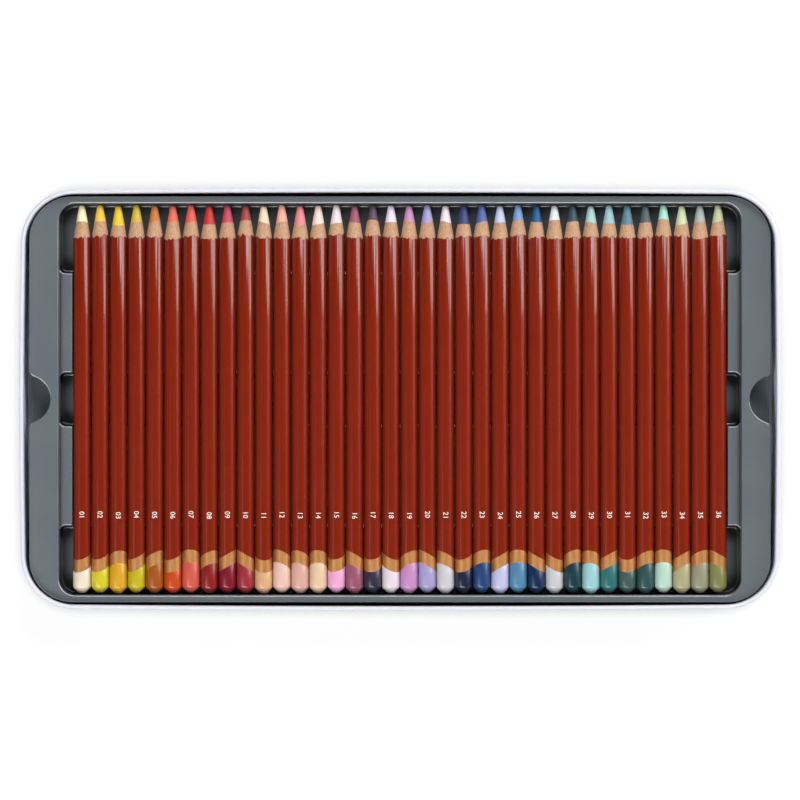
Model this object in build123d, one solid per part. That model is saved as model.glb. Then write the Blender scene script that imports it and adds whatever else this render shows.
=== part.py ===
from build123d import *
import os
from math import atan, degrees, pi, radians, sin, sqrt, tan

# Tin of coloured pencils: a drawn tinplate base that holds two thermoformed trays, one on the other,
# with a row of round pencils in each.  Millimetres.  +X runs along the row of pencils, +Y towards
# their points, +Z up.  The origin is the middle of the underside, on the table.

# Pencils
pencils_per_tray = 36
pencil_diameter = 8.0
pencil_length = 173.3
point_length = 14.2
point_tip_diameter = 2.6
butt_bevel = 1.8
pencil_gap = 0.13
barrel_sides = 12
lower_barrel_sides = 8

# Trays
sheet_thickness = 0.8
groove_clearance = 0.15
groove_depth = 1.25
groove_slope = 40.0
pencil_top_drop = 1.5
shoulder_width = 6.11
shoulder_above_axis = 3.3
end_play = 0.8
furthest_push = 0.24
push_turn = 2.4
wall_draft = 2.0
recess_corner_radius = 7.5
end_flange = 13.25
side_flange = 3.35
tray_corner_radius = 19.3
flange_bend = 0.7
recess_bend = 0.7
middle_well_width = 24.0
bar_width = 44.4
well_corner_radius = 3.0
well_foot_gap = 1.1
bar_foot_gap = 2.05
notch_radius = 10.4
notch_depth = 9.4
notch_blend_radius = 3.0

# Tin
tin_wall = 0.4
tray_end_gap = 2.25
tray_side_gap = 1.55
tin_corner_radius = 23.8
side_bow = 0.7
bottom_edge_bevel = 0.6
rim_curl_diameter = 1.8
rim_curl_bevel = 0.55
room_above_trays = 4.6
panel_inset = 9.6
panel_rise = 0.6

pencil_radius = pencil_diameter / 2
pencil_pitch = pencil_diameter + pencil_gap
bed_length = pencils_per_tray * pencil_pitch
recess_length = bed_length + 2 * shoulder_width
recess_width = pencil_length + 2 * end_play
tray_length = recess_length + 2 * end_flange
tray_width = recess_width + 2 * side_flange

axis_drop = pencil_top_drop + pencil_radius
groove_radius = pencil_radius + groove_clearance
groove_bottom_drop = axis_drop + groove_radius
land_drop = groove_bottom_drop - groove_depth
shoulder_drop = axis_drop - shoulder_above_axis
tray_height = groove_bottom_drop + sheet_thickness + bar_foot_gap
well_drop = tray_height - well_foot_gap - sheet_thickness
pan_drop = well_drop + sheet_thickness
bar_centre = (middle_well_width + bar_width) / 2

tin_length = tray_length + 2 * (tray_end_gap + rim_curl_diameter)
tin_width = tray_width + 2 * (tray_side_gap + rim_curl_diameter)
wall_inset = rim_curl_diameter - tin_wall
tin_height = tin_wall + 2 * tray_height + room_above_trays
lower_flange_top = tin_wall + tray_height
upper_flange_top = lower_flange_top + tray_height

colour_names = [
    "cream", "lemon", "golden_yellow", "olive_yellow", "ochre", "orange", "coral", "dark_red",
    "crimson", "wine", "peach", "light_pink", "dusky_pink", "rose_brown", "rose", "plum",
    "dark_violet", "mauve", "orchid", "light_violet", "silver_grey", "dark_blue", "royal_blue",
    "periwinkle", "sky_blue", "navy", "white", "ink_blue", "aqua", "teal", "fir_green", "spruce",
    "mint", "sage", "grey_green", "olive_green",
]


def placed(shape, x=0.0, y=0.0, z=0.0):
    return Pos(x, y, z) * shape


def tin_outline(inset=0.0):
    """The tin seen from above, its four sides bowed out a little as drawn tinplate is."""
    half_length = tin_length / 2 - inset
    half_width = tin_width / 2 - inset
    corner_x = half_length - side_bow
    corner_y = half_width - side_bow
    front = ThreePointArc((-corner_x, -corner_y), (0, -half_width), (corner_x, -corner_y))
    right = ThreePointArc((corner_x, -corner_y), (half_length, 0), (corner_x, corner_y))
    back = ThreePointArc((corner_x, corner_y), (0, half_width), (-corner_x, corner_y))
    left = ThreePointArc((-corner_x, corner_y), (-half_length, 0), (-corner_x, -corner_y))
    outline = make_face([front, right, back, left])
    return fillet(outline.vertices(), tin_corner_radius - inset)


def tin_base():
    """Drawn tin: thin wall, bevelled bottom edge, stiffening panel and a curl rolled outwards at the rim."""
    body = extrude(tin_outline(wall_inset), tin_height - rim_curl_diameter)
    body = chamfer(body.edges().group_by(Axis.Z)[0], bottom_edge_bevel)
    cavity = extrude(tin_outline(rim_curl_diameter), tin_height)
    cavity = chamfer(cavity.edges().group_by(Axis.Z)[0], bottom_edge_bevel)
    curl = extrude(tin_outline(), rim_curl_diameter)
    curl = chamfer(curl.edges().group_by(Axis.Z)[0], rim_curl_bevel)
    curl = chamfer(curl.edges().group_by(Axis.Z)[-1], rim_curl_bevel)
    panel = extrude(tin_outline(panel_inset), panel_rise)
    raised = extrude(tin_outline(panel_inset - tin_wall), panel_rise)
    body += placed(curl, z=tin_height - rim_curl_diameter)
    return body - placed(cavity, z=tin_wall) + placed(raised, z=tin_wall) - panel


def tray_outline(with_notches, inset=0.0):
    """The tray seen from above, with a half-round finger notch in the middle of each end."""
    length = tray_length - 2 * inset
    outline = RectangleRounded(length, tray_width - 2 * inset, tray_corner_radius - inset)
    if not with_notches:
        return outline
    notch_centre = tray_length / 2 + notch_radius - notch_depth
    for side in (-1, 1):
        outline -= placed(Circle(notch_radius + inset), x=side * notch_centre)
    lips = [corner for corner in outline.vertices() if abs(corner.Y) < notch_radius + inset]
    return fillet(lips, notch_blend_radius - inset)


def drawn_down(outline, drop):
    """A pocket of the tray, drafted inwards on its way down from z = 0 so that it leaves the mould."""
    return extrude(outline, amount=drop, dir=(0, 0, -1), taper=wall_draft)


def recess_outline(inset):
    return RectangleRounded(recess_length - 2 * inset, recess_width - 2 * inset, recess_corner_radius - inset)


def wells():
    """The three finger wells below shoulder level, round-cornered where they meet the two bars."""
    floor_plan = recess_outline(shoulder_drop * tan(radians(wall_draft)))
    for side in (-1, 1):
        floor_plan -= placed(Rectangle(recess_length, bar_width), y=side * bar_centre)
    bar_reach = middle_well_width / 2 + bar_width + well_corner_radius
    corners = [corner for corner in floor_plan.vertices() if abs(corner.Y) < bar_reach]
    floor_plan = fillet(corners, well_corner_radius)
    return placed(drawn_down(floor_plan, well_drop - shoulder_drop), z=-shoulder_drop)


def pencil_x(index):
    return (index + 0.5) * pencil_pitch - bed_length / 2


def pencil_bed():
    """What the row takes out of both bars: a sunk bed with a three-faced cradle for each pencil."""
    bed_end = bed_length / 2 + groove_clearance
    slope = radians(groove_slope)
    half_floor = groove_radius * tan(slope / 2)
    half_mouth = half_floor + groove_depth / tan(slope)
    points = [(-bed_end, -shoulder_drop), (-bed_end, -land_drop)]
    for index in range(pencils_per_tray):
        x = pencil_x(index)
        points.append((x - half_mouth, -land_drop))
        points.append((x - half_floor, -groove_bottom_drop))
        points.append((x + half_floor, -groove_bottom_drop))
        points.append((x + half_mouth, -land_drop))
    points += [(bed_end, -land_drop), (bed_end, -shoulder_drop)]
    section = Plane.XZ * make_face(Polyline(*points, close=True))
    reach = middle_well_width / 2 + bar_width + well_corner_radius
    return extrude(section, amount=reach, both=True)


def underside_hollows():
    """The spaces open from below, under the grooves and under the shoulders of each bar."""
    width = bar_width - 2 * sheet_thickness
    groove_roof = groove_bottom_drop + sheet_thickness
    shoulder_roof = shoulder_drop + sheet_thickness
    under_grooves = Box(bed_length, width, pan_drop - groove_roof)
    shoulder_length = shoulder_width - 3 * sheet_thickness
    under_shoulder = Box(shoulder_length, width, pan_drop - shoulder_roof)
    shoulder_x = bed_length / 2 + groove_clearance + sheet_thickness + shoulder_length / 2
    hollows = []
    for side in (-1, 1):
        y = side * bar_centre
        hollows.append(placed(under_grooves, y=y, z=-(pan_drop + groove_roof) / 2))
        for end in (-1, 1):
            hollows.append(placed(under_shoulder, x=end * shoulder_x, y=y, z=-(pan_drop + shoulder_roof) / 2))
    return hollows


def tray(with_notches):
    """Thermoformed tray with its flange top at z = 0: skirt, pan, three finger wells and two grooved bars."""
    outline = tray_outline(with_notches)
    skin = placed(extrude(outline, tray_height), z=-tray_height)
    skin = chamfer(skin.edges().group_by(Axis.Z)[-1], flange_bend)
    inside = tray_outline(with_notches, inset=sheet_thickness)
    skin -= placed(extrude(inside, tray_height - sheet_thickness), z=-tray_height)
    pan = recess_outline(-sheet_thickness)
    body = skin + drawn_down(pan, pan_drop) - drawn_down(recess_outline(0), shoulder_drop)
    recess_edge = body.faces().sort_by(Axis.Z)[-1].inner_wires()[0]
    body = chamfer(recess_edge.edges(), recess_bend)
    return body - wells() - pencil_bed() - underside_hollows()


def pencil(sides, bevel):
    """One sharpened pencil along +Y, its middle at the origin: butt, barrel and blunt point.

    The barrel, round on the real pencil, is a prism of the same cross-section area, one of its narrow
    flats underneath.
    """
    point_angle = degrees(atan((pencil_radius - point_tip_diameter / 2) / point_length))
    barrel_length = pencil_length - point_length
    to_flat = pencil_radius * sqrt(pi / (sides * tan(pi / sides)))
    section = RegularPolygon(to_flat, sides, major_radius=False, rotation=180 / sides)
    barrel = extrude(section, barrel_length)
    if bevel:
        barrel = chamfer(barrel.edges().group_by(Axis.Z)[0], bevel)
    point = placed(extrude(section, point_length, taper=point_angle), z=barrel_length)
    return Rot(-90, 0, 0) * placed(barrel + point, z=-pencil_length / 2)


def laid(new_pencil, index, flange_top):
    """A pencil in its cradle, pushed a little up or down the tray as hands leave it."""
    push = furthest_push * sin(push_turn * index)
    return placed(new_pencil, x=pencil_x(index), y=push, z=flange_top - axis_drop)


def save(name, shape):
    shape.label = name
    export_step(shape, f"parts/{name}.step")


def main():
    os.makedirs("parts", exist_ok=True)
    save("tin_base", tin_base())
    save("lower_tray", placed(tray(with_notches=False), z=lower_flange_top))
    save("upper_tray", placed(tray(with_notches=True), z=upper_flange_top))
    plain_pencil = pencil(lower_barrel_sides, bevel=0)
    lower_row = [laid(plain_pencil, index, lower_flange_top) for index in range(pencils_per_tray)]
    save("lower_pencils", Compound(children=lower_row))
    new_pencil = pencil(barrel_sides, bevel=butt_bevel)
    for index in range(pencils_per_tray):
        colour = colour_names[index % len(colour_names)]
        save(f"pencil_{index + 1:02d}_{colour}", laid(new_pencil, index, upper_flange_top))


main()
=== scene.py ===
import math
import random

import bmesh
import bpy
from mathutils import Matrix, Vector
from mathutils.geometry import delaunay_2d_cdt


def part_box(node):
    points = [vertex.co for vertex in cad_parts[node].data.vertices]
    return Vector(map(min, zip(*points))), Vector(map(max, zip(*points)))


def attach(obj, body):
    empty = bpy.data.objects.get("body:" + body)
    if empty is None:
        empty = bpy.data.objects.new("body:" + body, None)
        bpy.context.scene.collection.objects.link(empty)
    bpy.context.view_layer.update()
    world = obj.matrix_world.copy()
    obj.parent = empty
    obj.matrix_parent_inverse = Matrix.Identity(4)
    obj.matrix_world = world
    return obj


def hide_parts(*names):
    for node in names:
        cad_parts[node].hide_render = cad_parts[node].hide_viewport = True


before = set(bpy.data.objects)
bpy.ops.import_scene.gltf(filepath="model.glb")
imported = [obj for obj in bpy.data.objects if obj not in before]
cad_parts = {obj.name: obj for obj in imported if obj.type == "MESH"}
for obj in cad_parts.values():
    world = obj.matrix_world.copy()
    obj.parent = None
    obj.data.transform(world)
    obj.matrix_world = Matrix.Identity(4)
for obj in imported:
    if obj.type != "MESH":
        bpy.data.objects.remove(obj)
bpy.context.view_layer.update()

mm = 0.001

# ---------------------------------------------------------------------------
# The tin: a shallow box drawn from thin tinplate stoved with white enamel, so its sides bow out a
# little.  The top edge is rolled outwards into a curl, and a panel is pressed up in the bottom.
# ---------------------------------------------------------------------------

tin_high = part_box("tin_base")[1] / mm
tin_half_length = tin_high.x
tin_half_width = tin_high.y
tin_wall = 0.4
tin_corner = 23.8
side_bow = 0.7
curl_radius = 0.9
bottom_bend = 1.0
panel_border = 8.2
panel_rise = 0.6
panel_step = 0.8


def arc_angles(start, end, steps):
    """Evenly spaced angles in radians, both ends included, from degrees."""
    return [math.radians(start + (end - start) * step / steps) for step in range(steps + 1)]


def round_cornered(half_length, half_width, corner, steps=12, side_steps=1, bow=0.0):
    """Points round a rectangle with round corners, whose sides may bow out."""
    centre_x = half_length - bow - corner
    centre_y = half_width - bow - corner
    points = []
    for quarter in range(4):
        turn = quarter * 90
        across, along = (centre_y, centre_x) if quarter % 2 else (centre_x, centre_y)
        reach = across + corner
        for step in range(side_steps):
            share = 2 * step / side_steps - 1
            local = (reach + bow * (1 - share * share), along * share)
            if step:
                points.append(local + (turn,))
        for angle in arc_angles(0, 90, steps):
            points.append((across + corner * math.cos(angle), along + corner * math.sin(angle), turn))
    ring = []
    for x, y, turn in points:
        cos, sin = round(math.cos(math.radians(turn))), round(math.sin(math.radians(turn)))
        ring.append((x * cos - y * sin, x * sin + y * cos))
    return ring


def skin(rings):
    """Points and faces of a skin over rings with equal counts, closed round and at both ends."""
    points = [point for ring in rings for point in ring]
    count = len(rings[0])
    faces = [tuple(reversed(range(count)))]
    for level in range(len(rings) - 1):
        for step in range(count):
            near, far = level * count + step, level * count + (step + 1) % count
            faces.append((near, far, far + count, near + count))
    faces.append(tuple(range(len(points) - count, len(points))))
    return points, faces


def make_piece(name, points, faces, finishes, body, stands_for, sharp=40.0):
    """A smooth mesh from points in millimetres that rides on a body and stands for a solid."""
    mesh = bpy.data.meshes.new(name)
    mesh.from_pydata([Vector(point) * mm for point in points], [], faces)
    for finish in finishes:
        mesh.materials.append(finish)
    mesh.shade_smooth()
    mesh.set_sharp_from_angle(angle=math.radians(sharp))
    piece = bpy.data.objects.new(name, mesh)
    bpy.context.scene.collection.objects.link(piece)
    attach(piece, body)
    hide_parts(stands_for)
    return piece


def linear(code):
    """An sRGB hex colour as the linear red, green, blue and alpha of a shader."""
    parts = [int(code[place:place + 2], 16) / 255 for place in (1, 3, 5)]
    return (
        *(part / 12.92 if part <= 0.04045 else ((part + 0.055) / 1.055) ** 2.4 for part in parts), 1.0,
    )


def start_material(name, colour, **sockets):
    """A new material and its Principled shader with plain values in its sockets."""
    material = bpy.data.materials.new(name)
    material.use_nodes = True
    shader = material.node_tree.nodes["Principled BSDF"]
    shader.inputs["Base Color"].default_value = linear(colour)
    for socket, value in sockets.items():
        shader.inputs[socket.replace("_", " ")].default_value = value
    return material, shader


def add_node(owner, kind, settings, links):
    """A node whose fields and sockets take settings, and whose sockets take links from others."""
    node = owner.node_tree.nodes.new(kind)
    for name, value in settings.items():
        if isinstance(name, str) and hasattr(node, name):
            setattr(node, name, value)
        else:
            node.inputs[name].default_value = value
    for socket, output in links.items():
        owner.node_tree.links.new(output, node.inputs[socket])
    return node


def feed(owner, shader, **outputs):
    """Links outputs to the sockets of a shader."""
    for socket, output in outputs.items():
        owner.node_tree.links.new(output, shader.inputs[socket.replace("_", " ")])


# Stoved enamel on rolled sheet: a bluish white with an even sheen.  The roller
# leaves a faint ripple, and handling dulls it in soft patches.
enamel, enamel_shader = start_material("white_stoved_enamel", "#E6E7F1", Roughness=0.32)
roller_ripple = 4.0
dull_patch = 18.0
place = add_node(enamel, "ShaderNodeTexCoord", {}, {})
ripple = add_node(
    enamel, "ShaderNodeTexNoise", {"Scale": 1 / (roller_ripple * mm), "Detail": 2.0},
    {"Vector": place.outputs["Object"]},
)
patches = add_node(
    enamel, "ShaderNodeTexNoise", {"Scale": 1 / (dull_patch * mm), "Detail": 3.0},
    {"Vector": place.outputs["Object"]},
)
dulling = add_node(
    enamel, "ShaderNodeMapRange", {"To Min": 0.26, "To Max": 0.40}, {"Value": patches.outputs["Fac"]},
)
tint = add_node(
    enamel, "ShaderNodeMix",
    {"data_type": "RGBA", "A": linear("#D4D5DF"), "B": linear("#CBCDD8")},
    {"Factor": patches.outputs["Fac"]},
)
swell = add_node(
    enamel, "ShaderNodeBump", {"Strength": 0.12, "Distance": 0.05 * mm},
    {"Height": ripple.outputs["Fac"]},
)
feed(
    enamel, enamel_shader, Base_Color=tint.outputs["Result"], Roughness=dulling.outputs["Result"],
    Normal=swell.outputs["Normal"],
)


def tin_ring(inset, height):
    """The tin's bowed outline, a distance inside its widest, at a height."""
    outline = round_cornered(
        tin_half_length - inset, tin_half_width - inset, tin_corner - inset,
        steps=16, side_steps=10, bow=side_bow,
    )
    return [(x, y, height) for x, y in outline]


curl_centre = tin_high.z - curl_radius
outer_face = 2 * curl_radius - tin_wall
tuck = -56.0
bend_steps = 5
curl_steps = 16
tin_section = [(outer_face + panel_border + panel_step, panel_rise), (outer_face + panel_border, 0.0)]
for angle in arc_angles(270, 180, bend_steps):
    tin_section.append((
        outer_face + bottom_bend + bottom_bend * math.cos(angle),
        bottom_bend + bottom_bend * math.sin(angle),
    ))
for angle in arc_angles(tuck, -360, curl_steps):
    tin_section.append((
        curl_radius + curl_radius * math.cos(angle), curl_centre + curl_radius * math.sin(angle),
    ))
for angle in arc_angles(180, 270, bend_steps):
    inner_bend = bottom_bend - tin_wall
    tin_section.append((
        outer_face + bottom_bend + inner_bend * math.cos(angle),
        bottom_bend + inner_bend * math.sin(angle),
    ))
tin_section.append((outer_face + panel_border - panel_step / 2, tin_wall))
tin_section.append((outer_face + panel_border + panel_step / 2, tin_wall + panel_rise))
tin_points, tin_faces = skin([tin_ring(inset, height) for inset, height in tin_section])
make_piece("tin", tin_points, tin_faces, [enamel], "tin", "tin_base")

# ---------------------------------------------------------------------------
# The two trays: each is one sheet of grey polystyrene, warmed and sucked down over a mould, with a
# flange round three finger wells and two grooved bars that carry the pencils.  The upper tray, with
# a thumb notch in the middle of each end, stands on the lower one.
# ---------------------------------------------------------------------------

pencils_per_tray = 36
pencil_pitch = 8.13
bed_half = pencils_per_tray * pencil_pitch / 2
tray_low, tray_high = (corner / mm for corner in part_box("upper_tray"))
tray_half_length = tray_high.x
tray_half_width = tray_high.y
tray_corner = 19.3
tray_height = tray_high.z - tray_low.z
sheet = 0.8
flange_end = 13.25
flange_side = 3.35
recess_corner = 7.5
recess_half_length = tray_half_length - flange_end
recess_half_width = tray_half_width - flange_side
mould_lean = math.radians(2.0)
skirt_lean = 0.2
flange_bend = 0.6
recess_bend = 0.8
shoulder_foot = 0.4
foot_bend = 1.2
well_depth = 10.6
shoulder_depth = 2.2
land_depth = 8.4
axis_depth = 5.5
groove_radius = 4.15
groove_edge_bend = 0.35
bed_clearance = 0.15
bed_bend = 0.5
bar_near = 12.0
bar_far = 56.4
bar_bend = 0.7
well_corner = 3.0
notch_radius = 10.4
notch_depth = 9.4
notch_blend = 3.0
bend_stops = (0, 25, 48, 70, 88)
groove_lines = (-3.35, -2.95, -2.5, -1.3, 0.0, 1.3, 2.5, 2.95, 3.35)
line_overrun = 1.5
keep_inside = 1
merge_distance = 1e-5


def wall_height(inward, depth, top_bend, low_bend):
    """Height below the edge of a leaning wall of some depth, bent at its top and its foot."""
    cos, sin = math.cos(mould_lean), math.sin(mould_lean)
    top_centre = -top_bend * (1 - sin) / cos
    foot_centre = (low_bend + (depth - low_bend) * sin) / cos
    if inward <= top_centre:
        return 0.0
    if inward <= top_centre + top_bend * cos:
        return -top_bend + math.sqrt(top_bend ** 2 - (inward - top_centre) ** 2)
    if inward >= foot_centre:
        return -depth
    if inward >= foot_centre - low_bend * cos:
        return -depth + low_bend - math.sqrt(low_bend ** 2 - (inward - foot_centre) ** 2)
    return -inward * cos / sin


def wall_stops(depth, top_bend, low_bend):
    """Distances past the edge at which the wall needs a line of points."""
    cos, sin = math.cos(mould_lean), math.sin(mould_lean)
    top_centre = -top_bend * (1 - sin) / cos
    foot_centre = (low_bend + (depth - low_bend) * sin) / cos
    turns = [math.sin(math.radians(stop)) for stop in bend_stops]
    return ([top_centre + top_bend * turn for turn in turns]
            + [foot_centre - low_bend * turn for turn in turns])


def into_recess(x, y):
    """Distance from the recess's edge, more than 0 inside."""
    past_x = abs(x) - (recess_half_length - recess_corner)
    past_y = abs(y) - (recess_half_width - recess_corner)
    if past_x > 0 and past_y > 0:
        return recess_corner - math.hypot(past_x, past_y)
    return recess_corner - max(past_x, past_y)


well_half_length = recess_half_length - shoulder_depth * math.tan(mould_lean)


def into_well(x, y):
    """Distance from the nearest bar's edge, more than 0 over a well; the bars flare out at their ends."""
    off_bar = bar_near - abs(y) if abs(y) < (bar_near + bar_far) / 2 else abs(y) - bar_far
    along = abs(x) - (well_half_length - well_corner)
    if along <= 0:
        return off_bar
    return well_corner - math.hypot(along, max(well_corner - off_bar, 0.0))


def bed_height(x):
    """Height of the grooved bed across the row of pencils."""
    off_axis = (x + bed_half) % pencil_pitch - pencil_pitch / 2
    groove = -axis_depth - math.sqrt(groove_radius ** 2 - off_axis ** 2)
    near = max(groove_edge_bend - abs(groove + land_depth), 0.0)
    return min(groove, -land_depth) - near * near / (4 * groove_edge_bend)


def tray_surface(x, y):
    """Height of the tray's upper face, 0 on the flange."""
    inward = into_recess(x, y)
    wall = wall_height(inward, well_depth, recess_bend, foot_bend)
    shoulder = wall_height(inward, shoulder_depth, recess_bend, shoulder_foot)
    sunk = land_depth - shoulder_depth
    bed_share = -wall_height(bed_half + bed_clearance - abs(x), sunk, bed_bend, bed_bend) / sunk
    bar = shoulder + (bed_height(x) - shoulder) * bed_share
    drop = well_depth - shoulder_depth
    well_share = -wall_height(into_well(x, y), drop, bar_bend, foot_bend) / drop
    return max(wall, bar + (-well_depth - bar) * well_share)


def tray_outline(inset, notched):
    """The tray seen from above, anticlockwise, with the thumb notches and their rounded lips."""
    half_length = tray_half_length - inset
    ring = round_cornered(half_length, tray_half_width - inset, tray_corner - inset, steps=20)
    if not notched:
        return ring
    notch_x = tray_half_length + notch_radius - notch_depth
    lip_x = tray_half_length - notch_blend
    lip_y = math.sqrt((notch_radius + notch_blend) ** 2 - (notch_x - lip_x) ** 2)
    lean = math.degrees(math.atan2(lip_y, notch_x - lip_x))
    lower_lip = [
        (lip_x + (notch_blend - inset) * math.cos(angle),
         -lip_y + (notch_blend - inset) * math.sin(angle))
        for angle in arc_angles(0, lean, 8)
    ]
    hollow = [
        (notch_x + (notch_radius + inset) * math.cos(angle), (notch_radius + inset) * math.sin(angle))
        for angle in arc_angles(180 + lean, 180 - lean, 24)
    ]
    right_end = lower_lip + hollow[1:-1] + [(x, -y) for x, y in reversed(lower_lip)]
    left_end = [(-x, -y) for x, y in right_end]
    quarter = len(ring) // 4
    return right_end + ring[:2 * quarter] + left_end + ring[2 * quarter:]


def tray_piece(name, body, stands_for, flange_top, notched):
    """The tray's sheet: lines along every bend, triangles between them, and the sheet's thickness."""
    plan, edges, heights = [], [], []

    def draw(points, levels, closed):
        first = len(plan)
        plan.extend(Vector(point) for point in points)
        heights.extend(levels)
        edges.extend((first + step, first + step + 1) for step in range(len(points) - 1))
        if closed:
            edges.append((len(plan) - 1, first))

    skirt = tray_outline(0.0, notched)
    draw(skirt, [-tray_height] * len(skirt), True)
    for stop in reversed(bend_stops):
        turn = math.radians(stop)
        ring = tray_outline(skirt_lean + flange_bend * (1 - math.sin(turn)), notched)
        draw(ring, [flange_bend * (math.cos(turn) - 1)] * len(ring), True)

    for stop in sorted(set(wall_stops(well_depth, recess_bend, foot_bend)
                           + wall_stops(shoulder_depth, recess_bend, shoulder_foot)[len(bend_stops):])):
        ring = round_cornered(
            recess_half_length - stop, recess_half_width - stop, recess_corner - stop, steps=10,
        )
        draw(ring, [None] * len(ring), True)

    flare_x = well_half_length - well_corner
    for stop in wall_stops(well_depth - shoulder_depth, bar_bend, foot_bend):
        for edge, away in ((bar_near, -1), (bar_far, 1)):
            flare = [
                (flare_x + (well_corner - stop) * math.sin(angle),
                 edge + away * (well_corner - (well_corner - stop) * math.cos(angle)))
                for angle in arc_angles(0, 72, 8)
            ]
            line = [(-x, y) for x, y in reversed(flare)] + flare
            draw(line, [None] * len(line), False)
            draw([(x, -y) for x, y in line], [None] * len(line), False)

    bar_spans = [(side * (bar_near - line_overrun), side * (bar_far + line_overrun)) for side in (-1, 1)]
    columns = [(index + 0.5) * pencil_pitch - bed_half + offset
               for index in range(pencils_per_tray) for offset in groove_lines]
    for stop in wall_stops(land_depth - shoulder_depth, bed_bend, bed_bend):
        columns += [side * (bed_half + bed_clearance - stop) for side in (-1, 1)]
    for x in sorted(columns):
        for low, high in bar_spans:
            draw([(x, low), (x, high)], [None, None], False)

    plane, _, faces, sources, _, _ = delaunay_2d_cdt(plan, edges, [], keep_inside, merge_distance, True)
    points = []
    for point, source in zip(plane, sources):
        height = heights[source[0]] if source else None
        if height is None:
            height = tray_surface(point.x, point.y)
        points.append((point.x, point.y, flange_top + height))
    foot = flange_top - tray_height
    faces = [face for face in faces if any(points[corner][2] > foot for corner in face)]
    piece = make_piece(name, points, faces, [polystyrene], body, stands_for, 180.0)
    thickness = piece.modifiers.new("sheet", "SOLIDIFY")
    thickness.thickness = sheet * mm
    thickness.offset = -1.0
    flat_first = piece.modifiers.new("flat_faces_first", "WEIGHTED_NORMAL")
    flat_first.keep_sharp = True
    return piece


# Vacuum-formed polystyrene: a cool grey with the faint grain of the extruded sheet and a soft sheen,
# so that each bend draws a thin bright line.  The real grain is finer than the picture can show, so
# it is drawn coarser.
polystyrene, polystyrene_shader = start_material("formed_grey_polystyrene", "#5F666B", Roughness=0.38)
polystyrene_shader.inputs["Coat IOR"].default_value = 2.0
polystyrene_shader.inputs["Coat Roughness"].default_value = 0.10
sheet_grain = 0.6
sheet_mottle = 26.0
place = add_node(polystyrene, "ShaderNodeTexCoord", {}, {})
mottle = add_node(
    polystyrene, "ShaderNodeTexNoise", {"Scale": 1 / (sheet_mottle * mm), "Detail": 1.0},
    {"Vector": place.outputs["Object"]},
)
spread = add_node(
    polystyrene, "ShaderNodeMapRange", {"From Min": 0.38, "From Max": 0.62},
    {"Value": mottle.outputs["Fac"]},
)
cast = add_node(
    polystyrene, "ShaderNodeMix",
    {"data_type": "RGBA", "A": linear("#5D646B"), "B": linear("#61686A")},
    {"Factor": spread.outputs["Result"]},
)
grain = add_node(
    polystyrene, "ShaderNodeTexNoise", {"Scale": 1 / (sheet_grain * mm), "Detail": 3.0},
    {"Vector": place.outputs["Object"]},
)
sheen = add_node(
    polystyrene, "ShaderNodeMapRange", {"To Min": 0.32, "To Max": 0.44}, {"Value": grain.outputs["Fac"]},
)
pitting = add_node(
    polystyrene, "ShaderNodeBump", {"Strength": 0.15, "Distance": 0.03 * mm},
    {"Height": grain.outputs["Fac"]},
)
# The pockets look nearly black beside the lit flange, and light alone leaves them grey.  So shade is
# painted in: colour and gloss fall off where the sheet is closed in.  This is painted shade, not a
# finish that the real sheet is known to have.
painted_shade_reach = 8.0
shade_occlusion = add_node(
    polystyrene, "ShaderNodeAmbientOcclusion",
    {"only_local": True, "samples": 8, "Distance": painted_shade_reach * mm}, {},
)
unshaded_share = add_node(
    polystyrene, "ShaderNodeMapRange",
    {"interpolation_type": "SMOOTHSTEP", "From Min": 0.60, "From Max": 0.94,
     "To Min": 0.0, "To Max": 1.0},
    {"Value": shade_occlusion.outputs["AO"]},
)
# Painted shade: a near-black colour and no gloss where the sheet is closed in.
painted_pocket_shade = add_node(
    polystyrene, "ShaderNodeMix", {"data_type": "RGBA", "A": linear("#0A0A0B")},
    {"Factor": unshaded_share.outputs["Result"], "B": cast.outputs["Result"]},
)
feed(
    polystyrene, polystyrene_shader, Base_Color=painted_pocket_shade.outputs["Result"],
    Roughness=sheen.outputs["Result"], Normal=pitting.outputs["Normal"],
    Coat_Weight=unshaded_share.outputs["Result"],
)

lower_flange_top = (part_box("lower_tray")[1] / mm).z
tray_piece("tray_lower", "lower_layer", "lower_tray", lower_flange_top, notched=False)
tray_piece("tray_upper", "upper_layer", "upper_tray", tray_high.z, notched=True)

# ---------------------------------------------------------------------------
# The upper row: two slats of cedar glued round a thick wax core, turned round and dipped in rust-red
# lacquer, which the sharpener leaves with a ragged edge.  The butt is dipped at a slant in the core's
# colour, and a copper-gold foil is rolled on above the dip.
# ---------------------------------------------------------------------------

pencil_length = 173.3
cap_radius = 4.02
foil_radius = 3.93
barrel_radius = 3.9
lacquer_film = 0.07
point_length = 14.2
tip_radius = 1.3
core_length = 7.7
core_spread = 0.9
dip_length = 11.5
dip_slant = 2.2
foil_width = 5.6
round_steps = 64
butt_section = [
    (0.6, 0.0), (1.2, 0.1), (1.75, 0.36), (2.2, 0.75), (3.45, 2.02), (3.75, 2.37), (3.94, 2.75),
    (4.02, 3.2),
]
tip_section = [(1.38, 0.75), (1.28, 0.35), (1.1, 0.12), (0.75, 0.02), (0.3, 0.0)]
dip_lip = 0.2
dip_round = 0.05
foil_step = 0.02
film_fade = 0.12
film_step = 0.02
wood_start = 0.05
core_step = 0.05
core_sink = 0.02
tip_round = 1.0
number_height = 2.25
number_place = 36.6
number_relief = 0.06
number_sink = 0.03
digit_share = 0.7
strip_cuts = (-0.3, -0.1, 0.1, 0.3)

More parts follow.
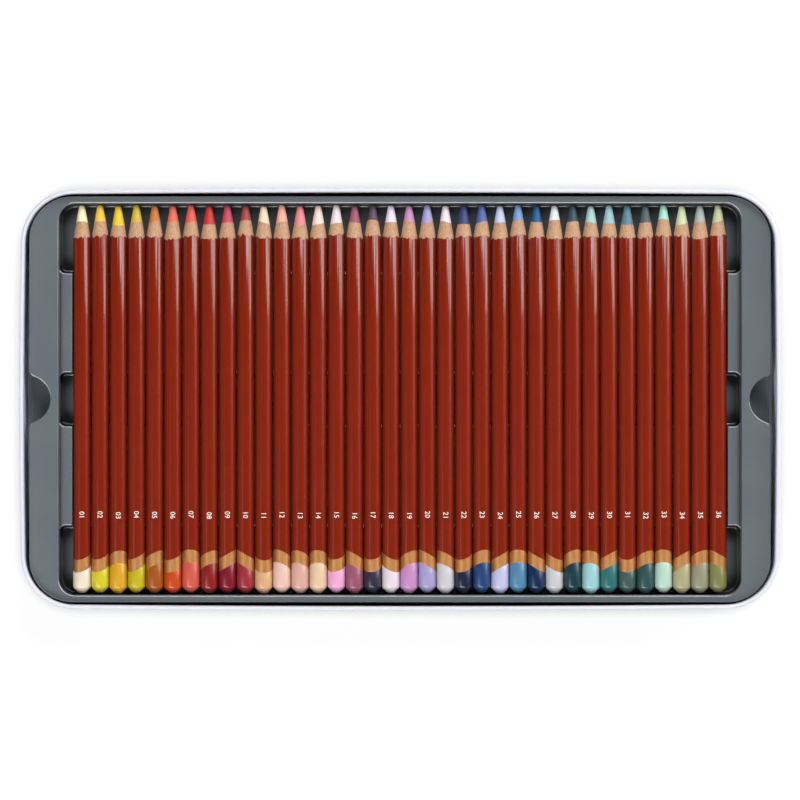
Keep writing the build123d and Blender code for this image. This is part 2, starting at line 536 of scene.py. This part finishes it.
# Each pencil: the dip's and the core's colours, and the way that the dip's high side faces, in degrees
# from +X over the top.
upper_row = [
    ("pencil_01_cream", "#EEE1C8", "#FFF6CC", 300),
    ("pencil_02_lemon", "#D6CA1E", "#FACA44", 300),
    ("pencil_03_golden_yellow", "#DCA51A", "#F4CC26", 75),
    ("pencil_04_olive_yellow", "#C6B60C", "#D6BA3C", 320),
    ("pencil_05_ochre", "#A65406", "#CC7C2C", 30),
    ("pencil_06_orange", "#C94708", "#EE6C52", 305),
    ("pencil_07_coral", "#D65A4B", "#E95E52", 95),
    ("pencil_08_dark_red", "#8C1515", "#CB2E28", 48),
    ("pencil_09_crimson", "#820524", "#C5455A", 5),
    ("pencil_10_wine", "#9F2833", "#A63F3D", 175),
    ("pencil_11_peach", "#DEAC7D", "#FCDCBE", 265),
    ("pencil_12_light_pink", "#EEC3B4", "#F5B29E", 135),
    ("pencil_13_dusky_pink", "#DCAA9B", "#E98790", 120),
    ("pencil_14_rose_brown", "#E8C8A6", "#F6DFD2", 95),
    ("pencil_15_rose", "#EFAAD2", "#F3E0E6", 290),
    ("pencil_16_plum", "#9A546D", "#A35468", 160),
    ("pencil_17_dark_violet", "#2E2B3F", "#594154", 285),
    ("pencil_18_mauve", "#E8DAE4", "#EEDEF6", 225),
    ("pencil_19_orchid", "#C88CC4", "#CC8CBE", 45),
    ("pencil_20_light_violet", "#A69FCE", "#A7A1D2", 165),
    ("pencil_21_silver_grey", "#CDCBCF", "#F0E0EA", 150),
    ("pencil_22_dark_blue", "#101E3D", "#323F76", 300),
    ("pencil_23_royal_blue", "#1E4178", "#5064A8", 65),
    ("pencil_24_periwinkle", "#C4C3E6", "#C3CCEE", 0),
    ("pencil_25_sky_blue", "#5087AA", "#789FD2", 90),
    ("pencil_26_navy", "#022350", "#04548A", 190),
    ("pencil_27_white", "#C8CACD", "#E7EFEF", 215),
    ("pencil_28_ink_blue", "#013742", "#2E4755", 55),
    ("pencil_29_aqua", "#9BCDD2", "#AACDCD", 105),
    ("pencil_30_teal", "#2D6E70", "#9BC2CC", 8),
    ("pencil_31_fir_green", "#3C5A58", "#5A8294", 275),
    ("pencil_32_spruce", "#265050", "#4B5E63", 50),
    ("pencil_33_mint", "#B9DACB", "#A9E5D1", 95),
    ("pencil_34_sage", "#AFAA82", "#CDD6AA", 10),
    ("pencil_35_grey_green", "#96947A", "#A5B3AE", 50),
    ("pencil_36_olive_green", "#82824B", "#C3CCA0", 170),
]


# Nitrocellulose lacquer over wood: a deep rust red in several dips, glossy, with
# the wood's lengthwise grain just telling through as long shallow ripples.
lacquer, lacquer_shader = start_material("dipped_rust_red_lacquer", "#791D06", Roughness=0.21)
lacquer_shader.inputs["Coat Weight"].default_value = 0.25
lacquer_shader.inputs["Coat Roughness"].default_value = 0.10
grain_width = 0.5
grain_length = 24.0
dip_shade = 9.0
place = add_node(lacquer, "ShaderNodeTexCoord", {}, {})
stretch = add_node(
    lacquer, "ShaderNodeMapping",
    {"Scale": (1 / (grain_width * mm), 1 / (grain_length * mm), 1 / (grain_width * mm))},
    {"Vector": place.outputs["Object"]},
)
telling = add_node(
    lacquer, "ShaderNodeTexNoise", {"Scale": 1.0, "Detail": 2.0},
    {"Vector": stretch.outputs["Vector"]},
)
shade = add_node(
    lacquer, "ShaderNodeTexNoise", {"Scale": 1 / (dip_shade * mm), "Detail": 2.0},
    {"Vector": place.outputs["Object"]},
)
depth = add_node(
    lacquer, "ShaderNodeMix",
    {"data_type": "RGBA", "A": linear("#751B05"), "B": linear("#7C1F07")},
    {"Factor": shade.outputs["Fac"]},
)
ripple = add_node(
    lacquer, "ShaderNodeBump", {"Strength": 0.10, "Distance": 0.03 * mm},
    {"Height": telling.outputs["Fac"]},
)
feed(lacquer, lacquer_shader, Base_Color=depth.outputs["Result"], Normal=ripple.outputs["Normal"])

# Cedar cut across its grain by the sharpener: pale tan with fine darker lines along the pencil and a
# dry, broken surface.  The real lines are finer, and are drawn coarser so that they tell.
cedar, cedar_shader = start_material("sharpened_cedar", "#DDB28C", Roughness=0.72)
line_width = 0.22
line_length = 5.0
place = add_node(cedar, "ShaderNodeTexCoord", {}, {})
stretch = add_node(
    cedar, "ShaderNodeMapping",
    {"Scale": (1 / (line_width * mm), 1 / (line_length * mm), 1 / (line_width * mm))},
    {"Vector": place.outputs["Object"]},
)
lines = add_node(
    cedar, "ShaderNodeTexNoise", {"Scale": 1.0, "Detail": 3.0},
    {"Vector": stretch.outputs["Vector"]},
)
board = add_node(
    cedar, "ShaderNodeTexNoise", {"Scale": 1 / (pencil_pitch * mm), "Detail": 0.0},
    {"Vector": place.outputs["Object"]},
)
timber = add_node(
    cedar, "ShaderNodeMix",
    {"data_type": "RGBA", "A": linear("#C09D76"), "B": linear("#BD9279")},
    {"Factor": board.outputs["Fac"]},
)
line_depth = add_node(
    cedar, "ShaderNodeMapRange", {"From Min": 0.42, "From Max": 0.70, "To Min": 0.0, "To Max": 0.95},
    {"Value": lines.outputs["Fac"]},
)
figure = add_node(
    cedar, "ShaderNodeMix", {"data_type": "RGBA", "B": linear("#9E6C4A")},
    {"Factor": line_depth.outputs["Result"], "A": timber.outputs["Result"]},
)
torn = add_node(
    cedar, "ShaderNodeBump", {"Strength": 0.5, "Distance": 0.06 * mm}, {"Height": lines.outputs["Fac"]},
)
feed(cedar, cedar_shader, Base_Color=figure.outputs["Result"], Normal=torn.outputs["Normal"])

# Hot-rolled foil: copper-gold metal on a smooth film, with the roller's
# streaks along the pencil that break its reflection into stripes.
foil, foil_shader = start_material("rolled_copper_gold_foil", "#DEA264", Metallic=0.85, Roughness=0.5)
streak_width = 0.35
streak_length = 12.0
place = add_node(foil, "ShaderNodeTexCoord", {}, {})
stretch = add_node(
    foil, "ShaderNodeMapping",
    {"Scale": (1 / (streak_width * mm), 1 / (streak_length * mm), 1 / (streak_width * mm))},
    {"Vector": place.outputs["Object"]},
)
streaks = add_node(
    foil, "ShaderNodeTexNoise", {"Scale": 1.0, "Detail": 2.0},
    {"Vector": stretch.outputs["Vector"]},
)
gilding = add_node(
    foil, "ShaderNodeMix",
    {"data_type": "RGBA", "A": linear("#B0753E"), "B": linear("#DDA368")},
    {"Factor": streaks.outputs["Fac"]},
)
burnish = add_node(
    foil, "ShaderNodeMapRange", {"To Min": 0.38, "To Max": 0.58}, {"Value": streaks.outputs["Fac"]},
)
feed(foil, foil_shader, Base_Color=gilding.outputs["Result"], Roughness=burnish.outputs["Result"])

# White pigment foil stamped into the lacquer for the plain number.
stamping, _ = start_material("stamped_white_foil", "#F1E4DC", Roughness=0.5)


def dip_material(name, colour):
    """The dip over the butt: the same lacquer in the core's colour, thick and glossy."""
    material, shader = start_material("dipped_lacquer_" + name, colour, Roughness=0.34)
    dip_depth = 0.80
    shader.inputs["Base Color"].default_value = (*(dip_depth * part for part in linear(colour)[:3]), 1.0)
    shader.inputs["Coat Weight"].default_value = 0.5
    shader.inputs["Coat Roughness"].default_value = 0.16
    place = add_node(material, "ShaderNodeTexCoord", {}, {})
    run = add_node(
        material, "ShaderNodeTexNoise", {"Scale": 1 / (dip_shade * mm / 3), "Detail": 1.0},
        {"Vector": place.outputs["Object"]},
    )
    sag = add_node(
        material, "ShaderNodeBump", {"Strength": 0.15, "Distance": 0.05 * mm},
        {"Height": run.outputs["Fac"]},
    )
    feed(material, shader, Normal=sag.outputs["Normal"])
    return material


def core_material(name, colour):
    """The core: pigment bound in wax, cut smooth and dry; its cutter lines are drawn coarser."""
    material, shader = start_material("cut_wax_core_" + name, colour, Roughness=0.55)
    cutter_line = 0.25
    place = add_node(material, "ShaderNodeTexCoord", {}, {})
    cut = add_node(
        material, "ShaderNodeTexNoise", {"Scale": 1 / (cutter_line * mm), "Detail": 2.0},
        {"Vector": place.outputs["Object"]},
    )
    ridge_share, score_share = 0.92, 0.76
    ridge, score = (
        (*(share * part for part in linear(colour)[:3]), 1.0) for share in (ridge_share, score_share)
    )
    speck = add_node(
        material, "ShaderNodeMix", {"data_type": "RGBA", "A": ridge, "B": score},
        {"Factor": cut.outputs["Fac"]},
    )
    scored = add_node(
        material, "ShaderNodeBump", {"Strength": 0.25, "Distance": 0.04 * mm},
        {"Height": cut.outputs["Fac"]},
    )
    feed(material, shader, Base_Color=speck.outputs["Result"], Normal=scored.outputs["Normal"])
    return material


def bare_radius(along):
    """Radius of the pencil's wood at a distance from the butt."""
    past = along - (pencil_length - point_length)
    wood_radius = barrel_radius - lacquer_film
    return wood_radius - max(past, 0.0) * (wood_radius - tip_radius) / point_length


def pencil_rings(draw, dip_turn, steps):
    """Rings from the butt to the tip as (along, radius) at each step round, and each stretch's finish."""
    angles = [2 * math.pi * step / steps for step in range(steps)]
    dip_edge = [dip_length + dip_slant * math.cos(angle - math.radians(dip_turn)) for angle in angles]
    lacquer_tilt, lacquer_turn = draw.uniform(0.1, 0.45), draw.uniform(0, 2 * math.pi)
    core_tilt, core_turn = draw.uniform(0.0, 0.9), draw.uniform(0, 2 * math.pi)
    lacquer_level = pencil_length - point_length + draw.uniform(-0.5, 0.9)
    core_level = pencil_length - core_length + draw.uniform(-core_spread, core_spread)
    bite = [draw.uniform(-0.9, 0.9) for _ in angles]
    tooth = [0.5 * bite[step] + 0.3 * bite[step - 1] + 0.2 * bite[step - 2] for step in range(steps)]
    lacquer_edge = [
        lacquer_level + lacquer_tilt * math.cos(angle - lacquer_turn) + reach
        for angle, reach in zip(angles, tooth)
    ]
    core_edge = [
        core_level + core_tilt * math.cos(angle - core_turn) + draw.uniform(-0.12, 0.12)
        for angle in angles
    ]
    rings = [[(along, radius)] * steps for radius, along in butt_section]
    finishes = ["dip"] * len(butt_section)

    def ring(places, finish):
        rings.append(places)
        finishes.append(finish)

    ring([(edge - dip_lip, cap_radius) for edge in dip_edge], "dip")
    ring([(edge - dip_round, cap_radius - dip_round) for edge in dip_edge], "dip")
    ring([(edge, foil_radius) for edge in dip_edge], "foil")
    ring([(edge + foil_width, foil_radius) for edge in dip_edge], "foil")
    ring([(edge + foil_width + foil_step, barrel_radius) for edge in dip_edge], "lacquer")
    cone_foot = pencil_length - point_length
    for share in (0.25, 0.5, 0.75):
        ring([(edge + share * (cone_foot - edge), barrel_radius) for edge in dip_edge], "lacquer")
    ring([
        (edge - film_fade, bare_radius(edge - film_fade) + lacquer_film) for edge in lacquer_edge
    ], "lacquer")
    ring([(edge - film_step, bare_radius(edge) + lacquer_film / 2) for edge in lacquer_edge], "lacquer")
    ring([(edge, bare_radius(edge)) for edge in lacquer_edge], "wood")
    bare_from = [max(edge + wood_start, cone_foot) for edge in lacquer_edge]
    ring([(along, bare_radius(along)) for along in bare_from], "wood")
    middle = [
        (max(low + 2 * wood_start, cone_foot) + high) / 2 for low, high in zip(lacquer_edge, core_edge)
    ]
    ring([(along, bare_radius(along)) for along in middle], "wood")
    ring([(edge, bare_radius(edge)) for edge in core_edge], "core")
    ring([(edge + core_step, bare_radius(edge + core_step) - core_sink) for edge in core_edge], "core")
    for share in (0.35, 0.7):
        places = [edge + share * (pencil_length - tip_round - edge) for edge in core_edge]
        ring([(along, bare_radius(along) - core_sink) for along in places], "core")
    for radius, short in tip_section:
        ring([(pencil_length - short, radius)] * steps, "core")
    return rings, finishes


def make_pencil(name, number, colours, dip_turn, axis_x, butt_y, axis_z, body, stands_for, steps):
    """A pencil that lies along +Y with its butt's middle at the given place."""
    draw = random.Random(number)
    rings, stretches = pencil_rings(draw, dip_turn, steps)
    turned = []
    for ring in rings:
        turned.append([
            (axis_x + radius * math.cos(2 * math.pi * step / steps), butt_y + along,
             axis_z + radius * math.sin(2 * math.pi * step / steps))
            for step, (along, radius) in enumerate(ring)
        ])
    points, faces = skin(turned)
    faces = [tuple(reversed(face)) for face in faces]
    order = ["dip", "foil", "lacquer", "wood", "core", "number"]
    finishes = [colours[0], foil, lacquer, cedar, colours[1], stamping]
    face_finish = [0]
    for stretch in stretches[:-1]:
        face_finish += [order.index(stretch)] * steps
    face_finish.append(order.index("core"))
    digits, digit_faces = stamped_number(number, axis_x, butt_y, axis_z)
    faces += [tuple(corner + len(points) for corner in face) for face in digit_faces]
    points += digits
    face_finish += [order.index("number")] * len(digit_faces)
    piece = make_piece(name, points, faces, finishes, body, stands_for, 35.0)
    piece.data.polygons.foreach_set("material_index", face_finish)
    return piece


def stamped_number(number, axis_x, butt_y, axis_z):
    """The plain number's digits, read from the point towards the butt, bent round the barrel."""
    words = bpy.data.curves.new("number", "FONT")
    words.body = f"{number:02d}"
    words.size = number_height / digit_share
    words.extrude = number_relief
    words.align_x = "LEFT"
    words.align_y = "CENTER"
    words.resolution_u = 3
    writer = bpy.data.objects.new("number", words)
    bpy.context.scene.collection.objects.link(writer)
    bpy.context.view_layer.update()
    flat = bpy.data.meshes.new_from_object(writer.evaluated_get(bpy.context.evaluated_depsgraph_get()))
    bpy.data.objects.remove(writer)
    bpy.data.curves.remove(words)
    cut = bmesh.new()
    cut.from_mesh(flat)
    for share in strip_cuts:
        bmesh.ops.bisect_plane(
            cut, geom=cut.verts[:] + cut.edges[:] + cut.faces[:],
            plane_co=(0, share * number_height, 0), plane_no=(0, 1, 0),
        )
    cut.to_mesh(flat)
    cut.free()
    points = []
    for vertex in flat.vertices:
        turn = vertex.co.y / barrel_radius
        radius = barrel_radius - number_sink + vertex.co.z
        points.append((
            axis_x + radius * math.sin(turn), butt_y + number_place - vertex.co.x,
            axis_z + radius * math.cos(turn),
        ))
    faces = [tuple(face.vertices) for face in flat.polygons]
    bpy.data.meshes.remove(flat)
    return points, faces


pencil_colours = []
for index, (node, dip_colour, core_colour, dip_turn) in enumerate(upper_row):
    shade_name = node[len("pencil_00_"):]
    colours = (dip_material(shade_name, dip_colour), core_material(shade_name, core_colour))
    pencil_colours.append(colours)
    low, high = (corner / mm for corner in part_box(node))
    make_pencil(
        f"coloured_{node}", index + 1, colours, dip_turn, (low.x + high.x) / 2, low.y,
        tray_high.z - axis_depth, f"pencil_{index + 1:02d}", node, round_steps,
    )

# ---------------------------------------------------------------------------
# The lower row: the same pencils, out of sight under the upper tray.  With their own shades unseen,
# they repeat the upper row's from the other end.
# ---------------------------------------------------------------------------

lower_steps = 32
furthest_push = 0.24
push_turn = 2.4
butt_middle = (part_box("lower_pencils")[0].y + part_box("lower_pencils")[1].y) / 2 / mm - pencil_length / 2
for index in range(pencils_per_tray):
    colours = pencil_colours[-1 - index]
    push = furthest_push * math.sin(push_turn * index)
    make_pencil(
        f"lower_pencil_{index + 1:02d}", pencils_per_tray + index + 1, colours, 47.0 * index,
        (index + 0.5) * pencil_pitch - bed_half, butt_middle + push,
        lower_flange_top - axis_depth, "lower_layer", "lower_pencils", lower_steps,
    )

# ---------------------------------------------------------------------------
# The studio: white paper, a softbox low at the right and one at the left that draw the lines of light
# on the barrels, two long ones behind and in front, a dark ceiling, and the camera straight above.
# ---------------------------------------------------------------------------

floor_half = 2.0
floor_mesh = bpy.data.meshes.new("floor")
floor_mesh.from_pydata(
    [(-floor_half, -floor_half, 0), (floor_half, -floor_half, 0), (floor_half, floor_half, 0),
     (-floor_half, floor_half, 0)], [], [(0, 1, 2, 3)],
)
floor = bpy.data.objects.new("floor", floor_mesh)
bpy.context.scene.collection.objects.link(floor)

# Matt white paper that the camera and shiny things see as plain white, less the object's shadow.  The
# glow stands in for an evenly lit sheet, and close to the tin it falls off as a painted contact shadow.
paper = bpy.data.materials.new("white_paper_floor")
paper.use_nodes = True
paper.node_tree.nodes.clear()
paper_glow = 0.80
contact_reach = 7.0
glow_from = 0.4
glow_full = 1.2
lit = add_node(paper, "ShaderNodeBsdfDiffuse", {"Color": linear("#E8E8E8")}, {})
shaded_part = add_node(paper, "ShaderNodeBsdfDiffuse", {"Color": linear("#7C7C7C")}, {})
# Painted contact shadow: occlusion dims the paper's glow near the tin.
painted_contact_shadow = add_node(paper, "ShaderNodeAmbientOcclusion", {"Distance": contact_reach * mm}, {})
place = add_node(paper, "ShaderNodeTexCoord", {}, {})
away = add_node(paper, "ShaderNodeVectorMath", {"operation": "LENGTH"}, {0: place.outputs["Object"]})
whiteness = add_node(
    paper, "ShaderNodeMapRange",
    {"From Min": glow_from, "From Max": glow_full, "To Min": paper_glow, "To Max": 1.0},
    {"Value": away.outputs["Value"]},
)
glow = add_node(
    paper, "ShaderNodeMath", {"operation": "MULTIPLY"},
    {0: painted_contact_shadow.outputs["AO"], 1: whiteness.outputs["Result"]},
)
bright_part = add_node(
    paper, "ShaderNodeEmission", {"Color": linear("#FFFFFF")}, {"Strength": glow.outputs[0]},
)
ray = add_node(paper, "ShaderNodeLightPath", {}, {})
glossy_or_camera = add_node(
    paper, "ShaderNodeMath", {"operation": "MAXIMUM"},
    {0: ray.outputs["Is Camera Ray"], 1: ray.outputs["Is Glossy Ray"]},
)
seen = add_node(
    paper, "ShaderNodeMath", {"operation": "MAXIMUM"},
    {0: glossy_or_camera.outputs[0], 1: ray.outputs["Is Transmission Ray"]},
)
whitened = add_node(
    paper, "ShaderNodeAddShader", {},
    {0: shaded_part.outputs[0], 1: bright_part.outputs[0]},
)
chosen = add_node(
    paper, "ShaderNodeMixShader", {},
    {0: seen.outputs[0], 1: lit.outputs[0], 2: whitened.outputs[0]},
)
add_node(paper, "ShaderNodeOutputMaterial", {}, {"Surface": chosen.outputs[0]})
floor_mesh.materials.append(paper)


def softbox(name, place, aim, width, height, watts):
    """A rectangular lamp at a place, facing what it is aimed at, its width level."""
    data = bpy.data.lights.new(name, "AREA")
    data.shape = "RECTANGLE"
    data.size = width
    data.size_y = height
    data.energy = watts
    lamp = bpy.data.objects.new(name, data)
    lamp.location = place
    lamp.rotation_euler = (Vector(aim) - Vector(place)).to_track_quat("-Z", "Y").to_euler()
    bpy.context.scene.collection.objects.link(lamp)


softbox("softbox_right", (1.50, 0.80, 0.75), (0.0, 0.80, 0.0), 1.35, 0.90, 19.0)
softbox("softbox_left", (-1.10, -0.75, 1.25), (0.0, -0.75, 0.0), 1.20, 0.50, 4.5)
softbox("softbox_back", (0.50, 1.15, 1.45), (0.0, 0.0, 0.0), 1.80, 0.70, 29.0)
softbox("softbox_front", (-0.50, -1.15, 1.45), (0.0, 0.0, 0.0), 1.80, 0.70, 29.0)

# The room fades from a bright horizon to a dark ceiling; the camera sees plain white.
horizon_strength = 0.70
ceiling_strength = 0.02
ceiling_from = 0.45
world = bpy.data.worlds.new("studio")
world.use_nodes = True
world.node_tree.nodes.clear()
place = add_node(world, "ShaderNodeTexCoord", {}, {})
parts = add_node(world, "ShaderNodeSeparateXYZ", {}, {"Vector": place.outputs["Generated"]})
rise = add_node(
    world, "ShaderNodeMapRange",
    {"From Min": 0.0, "From Max": ceiling_from, "To Min": horizon_strength, "To Max": ceiling_strength},
    {"Value": parts.outputs["Z"]},
)
room = add_node(
    world, "ShaderNodeBackground", {"Color": linear("#FFFFFF")},
    {"Strength": rise.outputs["Result"]},
)
backdrop = add_node(world, "ShaderNodeBackground", {"Color": linear("#FFFFFF"), "Strength": 1.0}, {})
ray = add_node(world, "ShaderNodeLightPath", {}, {})
chosen = add_node(
    world, "ShaderNodeMixShader", {},
    {0: ray.outputs["Is Camera Ray"], 1: room.outputs[0], 2: backdrop.outputs[0]},
)
add_node(world, "ShaderNodeOutputWorld", {}, {"Surface": chosen.outputs[0]})
bpy.context.scene.world = world

camera_height = 2.5
camera_y = -0.0003
picture_pixels = 800
pixels_per_mm = 2.235
seen_width = picture_pixels / pixels_per_mm * mm
seen_level = 0.0199
camera_data = bpy.data.cameras.new("camera")
camera_data.sensor_width = 36.0
camera_data.lens = camera_data.sensor_width * (camera_height - seen_level) / seen_width
camera = bpy.data.objects.new("camera", camera_data)
camera.location = (0.0, camera_y, camera_height)
bpy.context.scene.collection.objects.link(camera)
bpy.context.scene.camera = camera
bpy.context.scene.view_settings.view_transform = "Standard"
